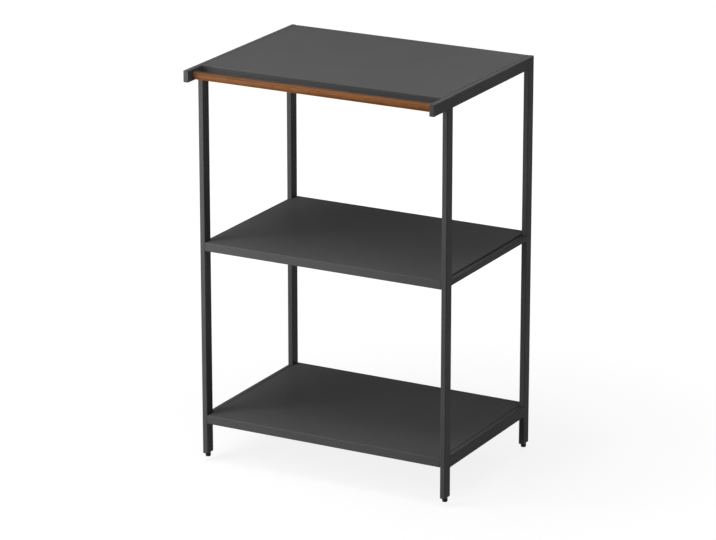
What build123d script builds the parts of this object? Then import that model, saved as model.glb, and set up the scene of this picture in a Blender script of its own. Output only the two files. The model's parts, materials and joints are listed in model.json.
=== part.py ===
from build123d import *
import os

# Storage rack: two side frames of rectangular steel tube carry three folded sheet panels,
# a round wooden bar across the front and four screw feet.
# X runs to the right, Y to the back and Z up. The origin is on the floor, under the middle of the outline.

# Overall sizes
overall_width = 600.0  # across the outer faces of the side frames
frame_depth = 410.0  # front face of the front legs to back face of the rear legs
rail_overhang = 60.0  # reach of the top rails in front of the front legs
overall_height = 895.0  # floor to the top face
mid_level = 498.0  # floor to the top face of the middle shelf
low_level = 100.0  # floor to the top face of the lower shelf

# Rectangular steel tube of the side frames
tube_face = 12.0  # narrow side, seen from the front
tube_depth = 26.0  # wide side, seen from the left or right
tube_wall = 1.2
tube_corner = 1.8
mid_rail_height = 13.0  # the middle side rails are a flatter tube
mid_rail_drop = 3.0  # middle shelf's top face down to the middle rails' top face

# Folded sheet panels
sheet = 1.0
bend_inner = 1.0
flange_height = 20.0
lip_width = 12.0  # inward return under the front and back flanges
corner_slit = 0.6  # open joint between neighbouring flanges

# Hat-shaped stiffener under each panel
stiffener_crown = 40.0
stiffener_rise = 12.0
stiffener_foot = 14.0
stiffener_end_gap = 8.0

# Bolts through the panels' side flanges, into rivet nuts in the rails
bolt_diameter = 4.0
bolt_head_flats = 7.0
bolt_head_height = 2.8
bolt_tip_gap = 1.0  # rivet nut's far end down to the bolt's tip
bolt_inset = 45.0  # legs' inner faces to the nearest bolt
bolt_hole_clearance = 0.25
rivet_head = 0.3  # thickness of its reduced head, also the seam between the panels and the side frames
rivet_head_flats = 7.0
rivet_flats = 6.0  # its hexagonal body can't turn in the tube wall
rivet_bulge = 0.7  # how far the set rivet nut spreads behind the tube wall
rivet_bulge_height = 2.0
rivet_end_gap = 1.5
thread_clearance = 0.05

# Wooden front bar and the steel pins in its ends
bar_diameter = 18.0
bar_setback = 26.0  # rail tips back to the bar's axis
bar_drop = 14.5  # top face down to the bar's axis
bar_edge = 0.8
pin_diameter = 6.0
pin_depth = 25.0  # length inside the bar
pin_end_gap = 2.5  # pin's end short of the rail's outer wall
pin_clearance = 0.05
pin_bore_gap = 0.5  # the bar's bore is this much deeper than the pin

# Push-in tube ends: caps on the rail tips, threaded plugs in the leg bottoms
cap_plate = 2.5
cap_edge = 0.6
cap_pin_gap = 3.0  # cap's inner end short of the bar's pin
leg_plug_plate = 1.5
leg_plug_body = 24.0
plug_clearance = 0.15
plug_fin = 0.8  # how far the gripping fins stand out of the plug's core
plug_fin_thickness = 1.0
plug_fin_count = 4

# Screw feet: a pad that stays still on the floor and a stud that turns in it
pad_diameter = 12.0
pad_height = 7.0
pad_edge = 1.4
pad_floor = 2.0  # pad's underside up to the stud's head
head_diameter = 7.0
head_height = 2.2
head_play = 0.2
neck_diameter = 4.0
collar_flats = 10.0
collar_height = 3.0
stud_diameter = 6.0
stud_length = 22.0  # above the collar
turn_clearance = 0.05

# Places that follow from the sizes above
inner_face = tube_face - 2 * tube_wall
inner_depth = tube_depth - 2 * tube_wall
tip_y = -(frame_depth + rail_overhang) / 2
back_y = (frame_depth + rail_overhang) / 2
leg_front_y = tip_y + rail_overhang
panel_y = (leg_front_y + back_y) / 2
frame_x = overall_width / 2 - tube_face / 2  # middle of a side frame
inside_x = overall_width / 2 - tube_face  # inner face of a side frame
leg_plug_z = pad_height + collar_height
leg_bottom_z = leg_plug_z + leg_plug_plate
rail_bottom_z = overall_height - tube_depth
bend_outer = bend_inner + sheet
panel_width = 2 * (inside_x - rivet_head)
panel_bolt_drop = flange_height / 2
mid_bolt_drop = mid_rail_drop + mid_rail_height / 2
bar_y = tip_y + bar_setback
bar_z = overall_height - bar_drop
rivet_length = tube_face - tube_wall - rivet_end_gap

side_signs = {"left": -1, "right": 1}
leg_rows = {"front": leg_front_y + tube_depth / 2, "rear": back_y - tube_depth / 2}
bolt_rows = (leg_front_y + tube_depth + bolt_inset, back_y - tube_depth - bolt_inset)
panel_levels = {"top": overall_height, "mid": mid_level, "low": low_level}
bolt_drops = {"top": panel_bolt_drop, "mid": mid_bolt_drop, "low": panel_bolt_drop}

# The rear corners of the side frames are mitred through this plane, whose normal points at the top rail.
mitre = Plane(origin=(0, back_y, overall_height), x_dir=(1, 0, 0), z_dir=(0, -1, 1))
to_the_back = Rot(X=-90)  # turns a piece that stands along Z so that it lies along Y


def turned(outline):
    """Solid of revolution about Z from an outline of (radius, height) points."""
    profile = Plane.XZ * make_face(Polyline(*outline, close=True))
    return revolve(profile, Axis.Z)


def tube(wide_side, length):
    """Tube that stands on the XY plane, its narrow side along X."""
    outer = RectangleRounded(tube_face, wide_side, tube_corner)
    inner = Rectangle(inner_face, wide_side - 2 * tube_wall)
    return extrude(outer - inner, length)


def hexagon(flats, length):
    """Hexagonal bar that stands on the XY plane."""
    return extrude(RegularPolygon(flats / 2, 6, major_radius=False), length)


def inner_wall(side, y, z):
    """Place on a side frame's inner face, with Z pointing into the frame's tube."""
    return Plane(origin=(side * inside_x, y, z), x_dir=(0, 1, 0), z_dir=(side, 0, 0)).location


def rivet_holes(side, level, drop):
    """Cutters for the rivet nuts of one panel, through the inner wall of one side rail."""
    hole = Pos(0, 0, -tube_wall) * hexagon(rivet_flats + 2 * thread_clearance, 3 * tube_wall)
    return [inner_wall(side, y, level - drop) * hole for y in bolt_rows]


def front_leg(side):
    """Front leg, which ends under the top rail."""
    length = rail_bottom_z - leg_bottom_z
    return Pos(side * frame_x, leg_rows["front"], leg_bottom_z) * tube(tube_depth, length)


def rear_leg(side):
    """Rear leg, mitred to the top rail at its upper end."""
    length = overall_height - leg_bottom_z
    whole = Pos(side * frame_x, leg_rows["rear"], leg_bottom_z) * tube(tube_depth, length)
    return split(whole, bisect_by=mitre, keep=Keep.BOTTOM)


def top_rail(side):
    """Top rail, from the cap at its front tip to the mitre at the back, with holes for rivet nuts and bar pin."""
    start_y = tip_y + cap_plate
    place = Pos(side * frame_x, start_y, overall_height - tube_depth / 2)
    whole = place * to_the_back * tube(tube_depth, back_y - start_y)
    rail = split(whole, bisect_by=mitre, keep=Keep.TOP)
    pin_hole = inner_wall(side, bar_y, bar_z) * Cylinder(pin_diameter / 2 + pin_clearance, 3 * tube_wall)
    return rail - rivet_holes(side, overall_height, panel_bolt_drop) - pin_hole


def side_rail(side, level, drop, wide_side, bolt_drop):
    """Rail between a front and a rear leg, its top face a little under a shelf's top face."""
    start_y = leg_front_y + tube_depth
    length = frame_depth - 2 * tube_depth
    place = Pos(side * frame_x, start_y, level - drop - wide_side / 2)
    return place * to_the_back * tube(wide_side, length) - rivet_holes(side, level, bolt_drop)


def corner_cuts(side, end):
    """Cutters that free the flanges from each other at one corner of a panel."""
    near_x = panel_width / 2 - sheet - corner_slit
    near_y = frame_depth / 2 - sheet
    slit_height = flange_height - bend_outer
    slit = Box(sheet + corner_slit, corner_slit, slit_height, align=(Align.MIN, Align.MAX, Align.MAX))
    notch_height = bend_outer + corner_slit
    notch_depth = lip_width - sheet + corner_slit
    notch = Box(sheet + corner_slit, notch_depth, notch_height, align=(Align.MIN, Align.MAX, Align.MIN))
    cuts = Pos(near_x, near_y, -bend_outer) * slit + Pos(near_x, near_y, -flange_height) * notch
    if side < 0:
        cuts = mirror(cuts, about=Plane.YZ)
    if end < 0:
        cuts = mirror(cuts, about=Plane.XZ)
    return cuts


def folded_panel(bolt_drop):
    """Tray of folded sheet with its top face at Z = 0, open below between the front and back return lips."""
    middle = Pos(0, 0, -flange_height / 2)
    outer = middle * Box(panel_width, frame_depth, flange_height)
    folds = outer.faces().sort_by(Axis.Z)[-1].edges() + outer.edges().filter_by(Axis.X).sort_by(Axis.Z)[:2]
    outer = fillet(folds, bend_outer)
    inside_width = panel_width - 2 * sheet
    hollow = middle * Box(inside_width, frame_depth - 2 * sheet, flange_height - 2 * sheet)
    folds = hollow.faces().sort_by(Axis.Z)[-1].edges() + hollow.edges().filter_by(Axis.X).sort_by(Axis.Z)[:2]
    hollow = fillet(folds, bend_inner)
    mouth = Pos(0, 0, -flange_height) * Box(inside_width, frame_depth - 2 * lip_width, 3 * sheet)
    panel = outer - hollow - mouth
    for side in (-1, 1):
        for end in (-1, 1):
            panel -= corner_cuts(side, end)
        for y in bolt_rows:
            hole = Cylinder(bolt_diameter / 2 + bolt_hole_clearance, 4 * sheet, rotation=(0, 90, 0))
            panel -= Pos(side * panel_width / 2, y - panel_y, -bolt_drop) * hole
    return panel


def stiffener():
    """Hat section along X, whose two feet lie against the underside of a panel at Z = -sheet."""
    crown = stiffener_crown / 2
    reach = crown + stiffener_foot
    top = -sheet
    bottom = top - stiffener_rise
    path = [
        (-reach, top),
        (reach, top),
        (reach, top - sheet),
        (crown, top - sheet),
        (crown, bottom),
        (-crown, bottom),
        (-crown, top - sheet),
        (-reach, top - sheet),
    ]
    section = make_face(Polyline(*path, close=True))
    section -= Pos(0, (top + bottom + sheet) / 2) * Rectangle(stiffener_crown - 2 * sheet, stiffener_rise - sheet)
    length = panel_width - 2 * (sheet + stiffener_end_gap)
    return extrude(Plane.YZ * section, length / 2, both=True)


def rivet_nut():
    """Set rivet nut, with its thin head on the rail's inner face at Z = 0 and its body inside the tube."""
    head = Pos(0, 0, -rivet_head) * hexagon(rivet_head_flats, rivet_head)
    bulge = hexagon(rivet_flats + 2 * rivet_bulge, rivet_bulge_height)
    nut = head + hexagon(rivet_flats, rivet_length) + Pos(0, 0, tube_wall) * bulge
    return nut - Cylinder(bolt_diameter / 2 + thread_clearance, 3 * rivet_length)


def panel_bolt():
    """Hexagon bolt, with its head against the inside of a panel's side flange."""
    seat = -rivet_head - sheet
    head = Pos(0, 0, -bolt_head_height) * hexagon(bolt_head_flats, bolt_head_height)
    shank_length = rivet_length - bolt_tip_gap - seat
    shank = Cylinder(bolt_diameter / 2, shank_length, align=(Align.CENTER, Align.CENTER, Align.MIN))
    return Pos(0, 0, seat) * (head + shank)


def front_bar():
    """Round wooden bar between the top rails, bored at both ends for the pins."""
    bar = Cylinder(bar_diameter / 2, 2 * inside_x, rotation=(0, 90, 0))
    bar = chamfer(bar.edges().filter_by(GeomType.CIRCLE), bar_edge)
    bar = Pos(0, bar_y, bar_z) * bar
    bore = Cylinder(pin_diameter / 2 + pin_clearance, 2 * (pin_depth + pin_bore_gap))
    for side in side_signs.values():
        bar -= inner_wall(side, bar_y, bar_z) * bore
    return bar


def bar_pin(side):
    """Steel pin that carries one end of the bar in the rail's inner wall."""
    length_in_rail = tube_face - tube_wall - pin_end_gap
    pin = Cylinder(pin_diameter / 2, pin_depth + length_in_rail, align=(Align.CENTER, Align.CENTER, Align.MIN))
    return inner_wall(side, bar_y, bar_z) * Pos(0, 0, -pin_depth) * pin


def plug_body(length):
    """Finned core of a push-in tube end, standing on the XY plane."""
    fin_outline = Rectangle(inner_face - 2 * plug_clearance, inner_depth - 2 * plug_clearance)
    core_trim = 2 * (plug_clearance + plug_fin)
    body = extrude(Rectangle(inner_face - core_trim, inner_depth - core_trim), length)
    pitch = length / plug_fin_count
    for fin in range(plug_fin_count):
        body += Pos(0, 0, fin * pitch) * extrude(fin_outline, plug_fin_thickness)
    return body


def plug_plate(thickness):
    """Plate with the tube's own outline, on the XY plane."""
    return extrude(RectangleRounded(tube_face, tube_depth, tube_corner), thickness)


def rail_cap():
    """Cap for the front end of a top rail, with its eased front face on the XY plane."""
    plate = plug_plate(cap_plate)
    plate = chamfer(plate.faces().sort_by(Axis.Z)[0].edges(), cap_edge)
    body_length = bar_setback - cap_plate - pin_diameter / 2 - cap_pin_gap
    return plate + Pos(0, 0, cap_plate) * plug_body(body_length)


def leg_plug():
    """Plug for the bottom of a leg, bored for the foot's stud, with its plate on the XY plane."""
    plug = plug_plate(leg_plug_plate) + Pos(0, 0, leg_plug_plate) * plug_body(leg_plug_body)
    bore = Cylinder(stud_diameter / 2 + turn_clearance, 2 * (leg_plug_plate + leg_plug_body))
    return plug - bore


def foot_pad():
    """Moulded pad on the floor, with a snap-in socket for the stud's head."""
    rim = pad_diameter / 2
    head = head_diameter / 2 + turn_clearance
    neck = neck_diameter / 2 + turn_clearance
    ceiling = pad_floor + head_height + 2 * head_play
    return turned([
        (0, 0),
        (rim - pad_edge, 0),
        (rim, pad_edge),
        (rim, pad_height),
        (neck, pad_height),
        (neck, ceiling),
        (head, ceiling),
        (head, pad_floor),
        (0, pad_floor),
    ])


def foot_stud():
    """Stud with a head that turns in the pad, a hexagonal collar and a shank that screws into the leg plug."""
    head_bottom = pad_floor + head_play
    head_top = head_bottom + head_height
    shank_bottom = pad_height + collar_height
    shank_top = shank_bottom + stud_length
    shaft = turned([
        (0, head_bottom),
        (head_diameter / 2, head_bottom),
        (head_diameter / 2, head_top),
        (neck_diameter / 2, head_top),
        (neck_diameter / 2, shank_bottom),
        (stud_diameter / 2, shank_bottom),
        (stud_diameter / 2, shank_top),
        (0, shank_top),
    ])
    return shaft + Pos(0, 0, pad_height) * hexagon(collar_flats, collar_height)


def wall_places():
    """Place of every bolt and rivet nut on the side frames' inner faces."""
    places = []
    for level_name, level in panel_levels.items():
        for side in side_signs.values():
            for y in bolt_rows:
                places.append(inner_wall(side, y, level - bolt_drops[level_name]))
    return places


parts = {}
cap = rail_cap()
plug = leg_plug()
pad = foot_pad()
stud = foot_stud()
for side_name, side in side_signs.items():
    parts[f"{side_name}_front_leg"] = front_leg(side)
    parts[f"{side_name}_rear_leg"] = rear_leg(side)
    parts[f"{side_name}_top_rail"] = top_rail(side)
    parts[f"{side_name}_mid_rail"] = side_rail(side, mid_level, mid_rail_drop, mid_rail_height, mid_bolt_drop)
    parts[f"{side_name}_low_rail"] = side_rail(side, low_level, 0, tube_depth, panel_bolt_drop)
    cap_place = Pos(side * frame_x, tip_y, overall_height - tube_depth / 2)
    parts[f"{side_name}_rail_cap"] = cap_place * to_the_back * cap
    for row_name, row_y in leg_rows.items():
        floor_place = Pos(side * frame_x, row_y, 0)
        parts[f"{side_name}_{row_name}_leg_plug"] = floor_place * Pos(0, 0, leg_plug_z) * plug
        parts[f"{side_name}_{row_name}_foot_pad"] = floor_place * pad
        parts[f"{side_name}_{row_name}_foot_stud"] = floor_place * stud

panel_names = {"top": "top_panel", "mid": "mid_shelf", "low": "low_shelf"}
hat = stiffener()
for level_name, level in panel_levels.items():
    parts[panel_names[level_name]] = Pos(0, panel_y, level) * folded_panel(bolt_drops[level_name])
    parts[f"{level_name}_stiffener"] = Pos(0, panel_y, level) * hat

parts["front_bar"] = front_bar()
parts["bar_pins"] = Compound(children=[bar_pin(side) for side in side_signs.values()])
bolt = panel_bolt()
nut = rivet_nut()
parts["panel_bolts"] = Compound(children=[place * bolt for place in wall_places()])
parts["rivet_nuts"] = Compound(children=[place * nut for place in wall_places()])

os.makedirs("parts", exist_ok=True)
for name, piece in parts.items():
    export_step(piece, f"parts/{name}.step")
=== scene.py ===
import json
import math

import bmesh
import bpy
from mathutils import Matrix, Vector


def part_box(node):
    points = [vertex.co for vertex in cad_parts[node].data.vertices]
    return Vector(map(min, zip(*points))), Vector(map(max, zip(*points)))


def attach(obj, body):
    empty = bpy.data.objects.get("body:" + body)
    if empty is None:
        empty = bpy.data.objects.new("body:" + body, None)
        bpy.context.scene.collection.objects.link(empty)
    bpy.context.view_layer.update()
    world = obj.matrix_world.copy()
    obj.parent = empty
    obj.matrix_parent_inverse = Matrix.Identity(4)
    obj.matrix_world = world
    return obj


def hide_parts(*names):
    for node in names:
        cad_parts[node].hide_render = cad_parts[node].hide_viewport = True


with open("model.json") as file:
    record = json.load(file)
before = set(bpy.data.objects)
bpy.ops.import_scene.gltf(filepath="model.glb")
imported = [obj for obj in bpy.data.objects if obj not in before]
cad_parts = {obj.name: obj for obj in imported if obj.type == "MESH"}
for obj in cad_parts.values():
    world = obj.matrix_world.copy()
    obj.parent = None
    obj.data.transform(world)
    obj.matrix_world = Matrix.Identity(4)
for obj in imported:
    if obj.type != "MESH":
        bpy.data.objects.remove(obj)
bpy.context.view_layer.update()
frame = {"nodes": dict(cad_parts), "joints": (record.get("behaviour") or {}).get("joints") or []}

# The looks of a storage rack: powder-coated steel tube and folded sheet, a wooden front bar and screw feet.
# All lengths are in metres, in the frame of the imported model.

mm = 0.001

# Camera
view_azimuth = math.radians(28.400)
view_elevation = math.radians(17.556)
view_distance = 8.0
view_target = Vector((-0.0049, 0.0, 0.4294))
view_lens = 184.60

# Lamps: place, width and power. All face the middle of the rack.
lamp_aim = (0.0, 0.0, 0.5)
lamps = {
    "key": ((-0.80, -1.05, 0.98), 0.7, 11.2),
    "top": ((-0.25, -0.55, 2.70), 1.6, 40.0),
    "low": ((-1.10, -1.90, 0.40), 1.0, 16.7),
    "back": ((0.20, 1.80, 2.20), 1.4, 11.3),
    "right": ((1.80, -0.20, 2.30), 1.6, 8.6),
}

# Floor and backdrop
ambient = 0.03
horizon = {"start": 0.10, "end": 0.14}  # rise of a ray over which the white backdrop turns dim
floor_reach = 14.0
floor_fade = {"start": 0.5, "end": 1.9}  # distance from the middle over which the floor's glow changes
near_glow = 0.86
far_glow = 1.0
floor_grey = 0.16  # to the eye
bounce_grey = 0.30  # for the light that the floor throws back

# Paint, wood, plastic and plated steel, as linear colours
paint_tone = (0.081, 0.081, 0.081)
wood_dark = (0.115, 0.037, 0.0092)
wood_light = (0.264, 0.103, 0.031)
# Painted shade and sheen of the bar's upper side, darker and greyer than the wood below
top_shade_dark = (0.070, 0.029, 0.012)
top_shade_light = (0.160, 0.078, 0.036)
wood_pore = (0.052, 0.018, 0.005)
cap_tone = (0.046, 0.047, 0.051)
plug_tone = (0.028, 0.028, 0.029)
pad_tone = (0.014, 0.014, 0.014)
zinc_tone = (0.560, 0.570, 0.580)
stud_tone = (0.055, 0.055, 0.058)

# Pads of the screw feet
pad_round = 1.8 * mm
pad_rim_round = 0.5 * mm
pad_rim_steps = 3
pad_floor = 2.0 * mm
turn_clearance = 0.05 * mm
head_play = 0.2 * mm

# Studs of the screw feet
head_radius = 3.5 * mm
head_height = 2.2 * mm
head_ease = 0.3 * mm
neck_radius = 2.0 * mm
collar_flats = 10.0 * mm
collar_height = 3.0 * mm
collar_lift = 0.03 * mm  # keeps the turning collar clear of the pad's rim
collar_face = 0.985 * collar_flats / 2  # radius at which its chamfers start
stud_radius = 3.0 * mm
stud_pitch = 1.0 * mm
thread_share = 0.54  # thread's depth as a share of its pitch
thread_slope = 1.6  # how steeply the groove's flanks rise
thread_root = 0.2  # how wide the groove's bottom is

# Bolts in the panels' side flanges
bolt_head_flats = 7.0 * mm
bolt_head_height = 2.8 * mm
bolt_face = 0.97 * bolt_head_flats / 2  # radius at which the head's chamfer starts
bolt_radius = 2.0 * mm
bolt_tip_chamfer = 0.4 * mm
hexagon_chamfer = math.tan(math.radians(30))  # slope of the chamfers on heads and collars

# Rail caps
cap_plate = 2.5 * mm
cap_round = 1.1 * mm
cap_core_corner = 0.2 * mm
tube_corner = 1.8 * mm
tube_wall = 1.2 * mm
plug_clearance = 0.15 * mm

# Welds
bead_leg = 2.3 * mm
bead_steps = 40
bead_ripple = 1.5 * mm
bead_wave = 0.07  # height of the ripples as a share of the leg
bead_hollow = 0.28  # how far the bead's face is drawn in
bead_end = 0.15  # what is left of the bead at its ends
bead_growth = 4  # how fast it grows from there
bead_sink = 0.2 * mm  # how far its root lies inside the tubes
spot_radius = 3.0 * mm
spot_rise = 0.25 * mm
spot_steps = 24
spot_pitch = 75 * mm
stiffener_foot = 14 * mm
sheet = 1.0 * mm

# Facets round a quarter of an edge and round a whole turn, and the angle from which an edge is sharp
round_steps = 6
turn_steps = 48
sharp_angle = math.radians(32)


# Mesh tools

def skin(shape, rings):
    """Adds a closed surface over a row of rings, each a list of as many points, with flat ends."""
    rows = [[shape.verts.new(point) for point in ring] for ring in rings]
    count = len(rows[0])
    for row, following in zip(rows, rows[1:]):
        for i in range(count):
            j = (i + 1) % count
            shape.faces.new((row[i], row[j], following[j], following[i]))
    shape.faces.new(rows[0][::-1])
    shape.faces.new(rows[-1])


def turned_point(radius, angle, height):
    return Vector((radius * math.cos(angle), radius * math.sin(angle), height))


def circle(radius, height, steps=turn_steps):
    """Ring about Z."""
    return [turned_point(radius, 2 * math.pi * i / steps, height) for i in range(steps)]


def moved(rings, matrix):
    return [[matrix @ point for point in ring] for ring in rings]


def quarter(steps=round_steps):
    """Pairs (sine, cosine) round a quarter circle."""
    return [(math.sin(a), math.cos(a)) for a in (math.pi / 2 * i / steps for i in range(steps + 1))]


def hexagon_radius(flats, angle):
    """Distance from the axis to a hexagon's side at an angle."""
    sixth = math.pi / 3
    return flats / 2 / math.cos((angle + sixth / 2) % sixth - sixth / 2)


def hexagon_ring(flats, height, lean=0.0, face=0.0):
    """Ring round a hexagon. Past the radius face, a chamfer takes its points down, or up where lean is -1."""
    ring = []
    for i in range(turn_steps):
        angle = 2 * math.pi * i / turn_steps
        radius = hexagon_radius(flats, angle)
        drop = lean * hexagon_chamfer * max(0.0, radius - face)
        ring.append(turned_point(radius, angle, height - drop))
    return ring


def thread_rings(radius, pitch, bottom, top, steps=28, rows_per_turn=8):
    """Rings of a right-handed thread about Z. Its groove fades at both ends, and its tip tapers."""
    depth = thread_share * pitch
    count = round((top - bottom) / pitch * rows_per_turn)
    rings = []
    for row in range(count + 1):
        height = bottom + (top - bottom) * row / count
        fade = min(1.0, (height - bottom) / pitch, (top - height) / pitch)
        taper = max(0.0, 1.0 - (top - height) / pitch)
        ring = []
        for i in range(steps):
            turn = i / steps
            phase = ((height - bottom) / pitch - turn) % 1.0
            crest = min(1.0, max(0.0, thread_slope * abs(2 * phase - 1) - thread_root))
            sunk = depth * (1.0 - crest) * fade + depth * taper
            ring.append(turned_point(radius - sunk, 2 * math.pi * turn, height))
        rings.append(ring)
    return rings


def rounded_ring(width, depth, corner, height):
    """Ring round a rectangle with rounded corners, about Z."""
    ring = []
    for sx, sy, start in ((1, 1, 0), (-1, 1, 90), (-1, -1, 180), (1, -1, 270)):
        middle = Vector((sx * (width / 2 - corner), sy * (depth / 2 - corner), height))
        for i in range(round_steps + 1):
            angle = math.radians(start + 90 * i / round_steps)
            ring.append(middle + corner * Vector((math.cos(angle), math.sin(angle), 0)))
    return ring


def add_object(name, data):
    thing = bpy.data.objects.new(name, data)
    bpy.context.scene.collection.objects.link(thing)
    return thing


def make_piece(name, shape, body, slot, replaced=()):
    """Turns a bmesh into a piece that rides on a body, with the finish of a material slot."""
    bmesh.ops.recalc_face_normals(shape, faces=shape.faces)
    mesh = bpy.data.meshes.new(name)
    shape.to_mesh(mesh)
    shape.free()
    mesh.shade_smooth()
    mesh.set_sharp_from_angle(angle=sharp_angle)
    mesh.materials.append(finishes[slot])
    piece = add_object(name, mesh)
    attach(piece, body)
    if replaced:
        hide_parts(*replaced)


def islands(node):
    """Lowest and highest corner of each separate solid in a node."""
    mesh = frame["nodes"][node].data
    keys = [tuple(round(c / mm, 2) for c in v.co) for v in mesh.vertices]
    parent = {key: key for key in keys}

    def root(key):
        while parent[key] != key:
            parent[key] = parent[parent[key]]
            key = parent[key]
        return key

    for edge in mesh.edges:
        a, b = (root(keys[v]) for v in edge.vertices)
        parent[a] = b
    groups = {}
    for vertex, key in zip(mesh.vertices, keys):
        groups.setdefault(root(key), []).append(vertex.co)
    boxes = []
    for points in groups.values():
        lowest = Vector([min(p[i] for p in points) for i in range(3)])
        highest = Vector([max(p[i] for p in points) for i in range(3)])
        boxes.append((lowest, highest))
    return sorted(boxes, key=lambda box: tuple(box[0]))


# Shader tools

def add_node(tree, kind, inputs=None, **settings):
    """Adds a node. An input's value is a number, a colour or the output socket that feeds it."""
    node = tree.nodes.new(kind)
    for name, value in settings.items():
        setattr(node, name, value)
    for name, value in (inputs or {}).items():
        if isinstance(value, bpy.types.NodeSocket):
            tree.links.new(value, node.inputs[name])
        else:
            node.inputs[name].default_value = value
    return node


def math_node(tree, operation, first, second=0.0):
    return add_node(tree, "ShaderNodeMath", {0: first, 1: second}, operation=operation).outputs[0]


def vector_node(tree, operation, inputs):
    """Number that a vector operation gives."""
    return add_node(tree, "ShaderNodeVectorMath", inputs, operation=operation).outputs["Value"]


def new_material(name):
    """Material with a lone principled shader."""
    material = bpy.data.materials.new(name)
    material.use_nodes = True
    tree = material.node_tree
    tree.nodes.clear()
    shader = add_node(tree, "ShaderNodeBsdfPrincipled")
    add_node(tree, "ShaderNodeOutputMaterial", {"Surface": shader.outputs[0]})
    return material, tree, shader


def feed(tree, shader, colour, roughness, normal):
    """Links the patterns of a finish to its shader."""
    tree.links.new(colour, shader.inputs["Base Color"])
    tree.links.new(roughness, shader.inputs["Roughness"])
    tree.links.new(normal, shader.inputs["Normal"])


def own_place(tree, stretch=(1, 1, 1), shift=(0, 0, 0)):
    """The piece's own coordinates, scaled and shifted."""
    place = add_node(tree, "ShaderNodeTexCoord").outputs["Object"]
    inputs = {"Vector": place, "Scale": stretch, "Location": shift}
    return add_node(tree, "ShaderNodeMapping", inputs).outputs[0]


def noise(tree, place, size, detail=2.0, distortion=0.0):
    """Cloudy pattern from 0 to 1 with features of about this size."""
    inputs = {"Vector": place, "Scale": 1 / size, "Detail": detail, "Distortion": distortion}
    return add_node(tree, "ShaderNodeTexNoise", inputs).outputs[0]


def spread(tree, value, low, high, start=0.3, end=0.7):
    """Maps the range from start to end, by default a noise's usual range, to low and high."""
    inputs = {0: value, 1: start, 2: end, 3: low, 4: high}
    return add_node(tree, "ShaderNodeMapRange", inputs).outputs[0]


def ramp(tree, value, stops):
    """Colour ramp from (position, colour) stops."""
    node = add_node(tree, "ShaderNodeValToRGB", {0: value})
    elements = node.color_ramp.elements
    while len(elements) < len(stops):
        elements.new(1.0)
    for element, (position, colour) in zip(elements, stops):
        element.position = position
        element.color = (*colour, 1.0)
    return node.outputs[0]


def blended(tree, factor, first, second):
    """Mix of two colours."""
    inputs = {0: factor, 6: first, 7: second}
    return add_node(tree, "ShaderNodeMix", inputs, data_type="RGBA").outputs[2]


def bump(tree, height, distance, strength, below=None):
    inputs = {"Height": height, "Distance": distance, "Strength": strength}
    if below is not None:
        inputs["Normal"] = below
    return add_node(tree, "ShaderNodeBump", inputs).outputs[0]


def shaded(colour, factor):
    return tuple(c * factor for c in colour)


# Finishes

def powder_coat(name, tone, rough):
    """Baked powder paint: a fine orange peel, slightly cloudy gloss and a thin lightening along the edges
    that is part wear and part painted highlight.
    """
    material, tree, shader = new_material(name)
    shader.inputs["Specular IOR Level"].default_value = 0.06
    place = own_place(tree)
    clouds = noise(tree, place, 140 * mm, detail=3)
    peel = noise(tree, place, 3.2 * mm)
    grain = noise(tree, place, 0.9 * mm)
    mottle = math_node(tree, "ADD", spread(tree, clouds, 0, 0.4), spread(tree, grain, 0, 0.6))
    colour = ramp(tree, mottle, [(0.0, shaded(tone, 0.88)), (1.0, shaded(tone, 1.12))])

    # Edges show where the normal that is smoothed over them differs from the true one
    edge_normal = add_node(tree, "ShaderNodeBevel", {"Radius": 1.6 * mm}, samples=4).outputs[0]
    true_normal = add_node(tree, "ShaderNodeNewGeometry").outputs["Normal"]
    facing = vector_node(tree, "DOT_PRODUCT", {0: edge_normal, 1: true_normal})
    edge = spread(tree, facing, 1, 0, start=0.75, end=0.98)
    # Painted highlight along the edges, with a little wear: the colour turns lighter where the edge mask is
    edge_wear_and_highlight = math_node(tree, "MULTIPLY", edge, spread(tree, peel, 0.15, 0.5))
    colour = blended(tree, edge_wear_and_highlight, colour, (*shaded(tone, 1.5), 1.0))

    roughness = spread(tree, clouds, rough - 0.04, rough + 0.05)
    normal = bump(tree, grain, 0.10 * mm, 0.5, bump(tree, peel, 0.20 * mm, 0.35))
    feed(tree, shader, colour, roughness, normal)
    return material


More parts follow.
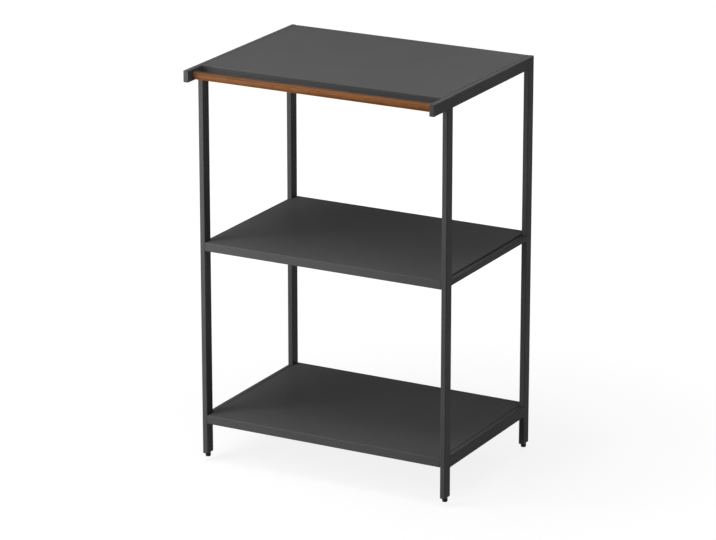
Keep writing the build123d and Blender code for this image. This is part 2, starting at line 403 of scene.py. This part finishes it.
def oiled_wood(name):
    """Hardwood with its grain along X: growth bands, fibres and short dark pores, and a painted shade with a
    painted sheen that makes the upper side darker and greyer.
    """
    low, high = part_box("front_bar")
    bar = (low + high) / 2
    material, tree, shader = new_material(name)
    shader.inputs["Specular IOR Level"].default_value = 0.08
    fibres = noise(tree, own_place(tree, stretch=(0.05, 1, 1)), 1.4 * mm, detail=4, distortion=0.4)
    pores = noise(tree, own_place(tree, stretch=(0.045, 1, 1)), 0.55 * mm, detail=1)
    clouds = noise(tree, own_place(tree, stretch=(0.25, 1, 1)), 22 * mm, detail=2)

    # Growth bands about a pith above the bar
    pith = own_place(tree, stretch=(0.16, 1, 1), shift=(0, 6 * mm - bar.y, -24.5 * mm - bar.z))
    rings = {"Vector": pith, "Scale": 78.0, "Distortion": 2.6, "Detail": 3.0, "Detail Scale": 0.9}
    bands = add_node(tree, "ShaderNodeTexWave", rings, wave_type="RINGS", rings_direction="X").outputs[1]
    figure = math_node(tree, "ADD", math_node(tree, "MULTIPLY", bands, 0.34), spread(tree, fibres, 0.0, 0.42))
    figure = math_node(tree, "ADD", figure, spread(tree, clouds, -0.06, 0.24))

    # Painted shade and painted sheen on the upper side, with a wavy border that runs askew to the bar
    upward = vector_node(tree, "DOT_PRODUCT", {0: own_place(tree), 1: (-0.018, 0, 1)})
    upward = math_node(tree, "ADD", upward, spread(tree, clouds, -2.5 * mm, 2.5 * mm))
    painted_top_shade = spread(tree, upward, 0, 1, start=bar.z + 4 * mm, end=bar.z + 12 * mm)
    plain_figure = ramp(tree, figure, [(0.08, wood_dark), (0.92, wood_light)])
    shaded_top_figure = ramp(tree, figure, [(0.08, top_shade_dark), (0.92, top_shade_light)])
    colour = blended(tree, painted_top_shade, plain_figure, shaded_top_figure)

    pore = spread(tree, pores, 0.75, 0.0, start=0.33, end=0.42)
    colour = blended(tree, pore, colour, (*wood_pore, 1.0))
    roughness = spread(tree, fibres, 0.38, 0.52)
    normal = bump(tree, pores, 0.06 * mm, 0.35, bump(tree, fibres, 0.08 * mm, 0.2))
    feed(tree, shader, colour, roughness, normal)
    return material


def moulded_plastic(name, tone, rough):
    """Plastic with the fine matt grain of an eroded mould."""
    material, tree, shader = new_material(name)
    shader.inputs["Specular IOR Level"].default_value = 0.16
    place = own_place(tree)
    clouds = noise(tree, place, 9 * mm)
    grain = noise(tree, place, 0.35 * mm)
    colour = ramp(tree, clouds, [(0.2, shaded(tone, 0.9)), (0.8, shaded(tone, 1.1))])
    roughness = spread(tree, grain, rough - 0.06, rough + 0.06)
    feed(tree, shader, colour, roughness, bump(tree, grain, 0.03 * mm, 0.4))
    return material


def plated_steel(name, tone, rough):
    """Plated steel with a faintly cloudy coat and fine scratches."""
    material, tree, shader = new_material(name)
    shader.inputs["Metallic"].default_value = 1.0
    clouds = noise(tree, own_place(tree), 2.5 * mm, detail=3)
    scratches = noise(tree, own_place(tree, stretch=(1, 1, 0.12)), 0.3 * mm, detail=1)
    colour = ramp(tree, clouds, [(0.2, shaded(tone, 0.82)), (0.8, shaded(tone, 1.08))])
    roughness = spread(tree, clouds, rough - 0.08, rough + 0.08)
    feed(tree, shader, colour, roughness, bump(tree, scratches, 0.02 * mm, 0.3))
    return material


finishes = {
    "frame_steel": powder_coat("frame_paint", paint_tone, 0.55),
    "panel_steel": powder_coat("panel_paint", paint_tone, 0.47),
    "bar_wood": oiled_wood("oiled_wood"),
    "cap_plastic": moulded_plastic("cap_plastic_finish", cap_tone, 0.5),
    "plug_plastic": moulded_plastic("plug_plastic_finish", plug_tone, 0.5),
    "pad_plastic": moulded_plastic("pad_plastic_finish", pad_tone, 0.45),
    "zinc_steel": plated_steel("zinc_plate", zinc_tone, 0.32),
    "stud_steel": plated_steel("dark_plate", stud_tone, 0.4),
}
for node in frame["nodes"].values():
    for holder in node.material_slots:
        holder.material = finishes[holder.material.name]


# Screw feet

def pad_rings(radius, height):
    """Moulded pad: a rounded floor edge, an eased rim and the socket that holds the stud's head."""
    socket = head_radius + turn_clearance
    mouth = neck_radius + turn_clearance
    ceiling = pad_floor + head_height + 2 * head_play
    sole_middle = 0.35 * radius
    rings = [circle(sole_middle, 0.0)]
    for s, c in quarter():
        rings.append(circle(radius - pad_round * (1 - s), pad_round * (1 - c)))
    for s, c in quarter(pad_rim_steps):
        rings.append(circle(radius - pad_rim_round * (1 - c), height - pad_rim_round * (1 - s)))
    rings += [circle(mouth, height), circle(mouth, ceiling)]
    rings += [circle(socket, ceiling), circle(socket, pad_floor)]
    return rings


def stud_shapes(height):
    """Head with its neck, chamfered hexagonal collar and threaded shank of a foot's stud."""
    head_bottom = pad_floor + head_play
    head_top = head_bottom + head_height
    collar_bottom = pad_top + collar_lift
    collar_top = pad_top + collar_height
    head = [circle(head_radius - head_ease, head_bottom), circle(head_radius, head_bottom + head_ease)]
    head += [circle(head_radius, head_top), circle(neck_radius, head_top), circle(neck_radius, collar_bottom)]
    lower_edge = hexagon_ring(collar_flats, collar_bottom, -1.0, collar_face)
    upper_edge = hexagon_ring(collar_flats, collar_top, 1.0, collar_face)
    collar = [circle(collar_face, collar_bottom), lower_edge, upper_edge, circle(collar_face, collar_top)]
    shank = thread_rings(stud_radius, stud_pitch, collar_top, height)
    return head, collar, shank


pad_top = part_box("left_front_foot_pad")[1].z
for corner in ("left_front", "left_rear", "right_front", "right_rear"):
    low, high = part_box(f"{corner}_foot_pad")
    middle = (low + high) / 2
    foot_place = Matrix.Translation((middle.x, middle.y, 0))
    shape = bmesh.new()
    skin(shape, moved(pad_rings((high.x - low.x) / 2, high.z), foot_place))
    make_piece(f"{corner}_pad_moulding", shape, f"{corner}_pad", "pad_plastic", [f"{corner}_foot_pad"])
    shape = bmesh.new()
    for rings in stud_shapes(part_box(f"{corner}_foot_stud")[1].z):
        skin(shape, moved(rings, foot_place))
    make_piece(f"{corner}_threaded_stud", shape, f"{corner}_stud", "stud_steel", [f"{corner}_foot_stud"])


# Bolts with chamfered heads, each along X from the inside of a panel into its rail

def bolt_shapes(length):
    """Hexagon head below Z = 0 and a shank with a chamfered tip above it."""
    outer_edge = hexagon_ring(bolt_head_flats, -bolt_head_height, -1.0, bolt_face)
    head = [circle(bolt_face, -bolt_head_height), outer_edge, hexagon_ring(bolt_head_flats, 0.0)]
    shank = [circle(bolt_radius, 0.0), circle(bolt_radius, length - bolt_tip_chamfer)]
    shank += [circle(bolt_radius - bolt_tip_chamfer, length)]
    return head, shank


shape = bmesh.new()
for low, high in islands("panel_bolts"):
    outward = 1 if low.x > 0 else -1
    head_end = low.x if outward > 0 else high.x
    seat = head_end + outward * bolt_head_height
    length = high.x - low.x - bolt_head_height
    middle = (low + high) / 2
    turn = Matrix.Rotation(outward * math.pi / 2, 4, "Y")
    bolt_place = Matrix.Translation((seat, middle.y, middle.z)) @ turn
    for rings in bolt_shapes(length):
        skin(shape, moved(rings, bolt_place))
make_piece("hexagon_bolts", shape, "frame", "zinc_steel", ["panel_bolts"])


# Rail caps with rounded front edges

def cap_rings(width, depth, length):
    """Cap with its face at Z = 0: a plate with a rounded edge, then a core inside the tube."""
    rings = []
    for s, c in quarter():
        inset = cap_round * (1 - s)
        corner = max(tube_corner - inset, cap_core_corner)
        rings.append(rounded_ring(width - 2 * inset, depth - 2 * inset, corner, cap_round * (1 - c)))
    rings.append(rounded_ring(width, depth, tube_corner, cap_plate))
    trim = 2 * (tube_wall + plug_clearance)
    rings.append(rounded_ring(width - trim, depth - trim, cap_core_corner, cap_plate))
    rings.append(rounded_ring(width - trim, depth - trim, cap_core_corner, length))
    return rings


for side in ("left", "right"):
    low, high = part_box(f"{side}_rail_cap")
    middle = (low + high) / 2
    cap_place = Matrix.Translation((middle.x, low.y, middle.z)) @ Matrix.Rotation(-math.pi / 2, 4, "X")
    shape = bmesh.new()
    skin(shape, moved(cap_rings(high.x - low.x, high.z - low.z, high.y - low.y), cap_place))
    make_piece(f"{side}_rail_end_cap", shape, "frame", "cap_plastic", [f"{side}_rail_cap"])


# Weld beads in the corners under the side rails, and spot welds under the stiffeners' feet

def bead_rings(width):
    """Rippled fillet along X in the corner under Z = 0 and behind Y = 0."""
    rings = []
    for i in range(bead_steps + 1):
        x = width * (i / bead_steps - 0.5)
        from_end = min(i, bead_steps - i)
        share = min(1.0, bead_growth * from_end / bead_steps + bead_end)
        leg = bead_leg * math.sqrt(share) * (1 + bead_wave * math.cos(2 * math.pi * x / bead_ripple))
        ring = [Vector((x, -bead_sink, bead_sink))]
        for s, c in quarter():
            ring.append(Vector((x, leg * s * (1 - bead_hollow * c), -leg * c * (1 - bead_hollow * s))))
        rings.append(ring)
    return rings


shape = bmesh.new()
for side in ("left", "right"):
    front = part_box(f"{side}_front_leg")[1].y
    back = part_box(f"{side}_rear_leg")[0].y
    for rail in ("top", "mid", "low"):
        low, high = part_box(f"{side}_{rail}_rail")
        width = high.x - low.x - 2 * tube_corner
        for y, facing in ((front, 1), (back, -1)):
            corner_place = Matrix.Translation(((low.x + high.x) / 2, y, low.z))
            bead_place = corner_place @ Matrix.Diagonal((1, facing, 1, 1))
            skin(shape, moved(bead_rings(width), bead_place))
make_piece("weld_beads", shape, "frame", "frame_steel")


def spot_rings():
    """Shallow dimple with a raised rim, facing down from Z = 0."""
    profile = [(1.0, 0.05), (0.93, -0.6), (0.82, -1.0), (0.68, -0.7), (0.55, -0.25), (0.25, -0.2)]
    return [circle(spot_radius * r, spot_rise * z, spot_steps) for r, z in profile]


shape = bmesh.new()
for level in ("top", "mid", "low"):
    low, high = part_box(f"{level}_stiffener")
    count = round((high.x - low.x) / spot_pitch)
    for i in range(count):
        x = low.x + (high.x - low.x) * (i + 0.5) / count
        for y in (low.y + stiffener_foot / 2, high.y - stiffener_foot / 2):
            skin(shape, moved(spot_rings(), Matrix.Translation((x, y, high.z - sheet))))
make_piece("spot_welds", shape, "frame", "panel_steel")


# Floor, backdrop, lamps and camera

def seen_directly(tree):
    """1 for rays that come from the camera or from a mirror or glass, and 0 for diffuse light."""
    path = add_node(tree, "ShaderNodeLightPath").outputs
    shiny = math_node(tree, "MAXIMUM", path["Is Glossy Ray"], path["Is Transmission Ray"])
    return math_node(tree, "MAXIMUM", path["Is Camera Ray"], shiny)


def pale_floor(name):
    """White to the eye with a faint shadow, mid grey for the light that it throws back, clear from below."""
    material = bpy.data.materials.new(name)
    material.use_nodes = True
    tree = material.node_tree
    tree.nodes.clear()
    seen = seen_directly(tree)
    place = add_node(tree, "ShaderNodeTexCoord").outputs["Object"]
    away = vector_node(tree, "LENGTH", {0: place})
    glow = math_node(tree, "MULTIPLY", spread(tree, away, near_glow, far_glow, **floor_fade), seen)
    grey = spread(tree, seen, bounce_grey, floor_grey, start=0.0, end=1.0)
    lit = add_node(tree, "ShaderNodeBsdfDiffuse", {"Color": grey})
    shine = add_node(tree, "ShaderNodeEmission", {"Color": (1, 1, 1, 1), "Strength": glow})
    both = add_node(tree, "ShaderNodeAddShader", {0: lit.outputs[0], 1: shine.outputs[0]})
    below = add_node(tree, "ShaderNodeNewGeometry").outputs["Backfacing"]
    clear = add_node(tree, "ShaderNodeBsdfTransparent")
    either = add_node(tree, "ShaderNodeMixShader", {0: below, 1: both.outputs[0], 2: clear.outputs[0]})
    add_node(tree, "ShaderNodeOutputMaterial", {"Surface": either.outputs[0]})
    return material


def add_floor():
    """Floor at the lowest place that the feet reach, so that it hides no pad that is screwed out."""
    floor_height = min(joint["range_m"][0] for joint in frame["joints"] if joint["type"] == "slide")
    shape = bmesh.new()
    shape.faces.new([shape.verts.new(point) for point in circle(floor_reach, floor_height)])
    mesh = bpy.data.meshes.new("floor")
    shape.to_mesh(mesh)
    shape.free()
    mesh.materials.append(pale_floor("pale_floor"))
    floor = add_object("floor", mesh)


def add_world():
    """White to the eye up to the horizon and through the clear floor, and dim above and for diffuse light."""
    world = bpy.data.worlds.new("studio")
    bpy.context.scene.world = world
    world.use_nodes = True
    tree = world.node_tree
    tree.nodes.clear()
    direction = add_node(tree, "ShaderNodeTexCoord").outputs["Generated"]
    rise = add_node(tree, "ShaderNodeSeparateXYZ", {0: direction}).outputs["Z"]
    path = add_node(tree, "ShaderNodeLightPath").outputs
    through_floor = math_node(tree, "MINIMUM", path["Is Camera Ray"], path["Transparent Depth"])
    backdrop = math_node(tree, "MAXIMUM", spread(tree, rise, 1.0, ambient, **horizon), through_floor)
    level = blended(tree, seen_directly(tree), (ambient, ambient, ambient, 1.0), backdrop)
    sky = add_node(tree, "ShaderNodeBackground", {"Color": level, "Strength": 1.0})
    add_node(tree, "ShaderNodeOutputWorld", {"Surface": sky.outputs[0]})


def turn_to(thing, aim):
    thing.rotation_euler = (Vector(aim) - thing.location).to_track_quat("-Z", "Y").to_euler()


def add_lamp(name, place, width, power):
    lamp = bpy.data.lights.new(name, "AREA")
    lamp.size = width
    lamp.energy = power
    holder = add_object(name, lamp)
    holder.location = place
    turn_to(holder, lamp_aim)
    holder.visible_camera = False


def add_camera():
    """Camera at the photo's angle."""
    camera = bpy.data.cameras.new("camera")
    camera.lens = view_lens
    holder = add_object("camera", camera)
    level_reach = math.cos(view_elevation)
    towards = Vector((
        math.sin(view_azimuth) * level_reach,
        -math.cos(view_azimuth) * level_reach,
        math.sin(view_elevation),
    ))
    holder.location = view_target + view_distance * towards
    turn_to(holder, view_target)
    bpy.context.scene.camera = holder


add_floor()
add_world()
for name, (place, width, power) in lamps.items():
    add_lamp(name, place, width, power)
add_camera()
bpy.context.scene.view_settings.view_transform = "Standard"
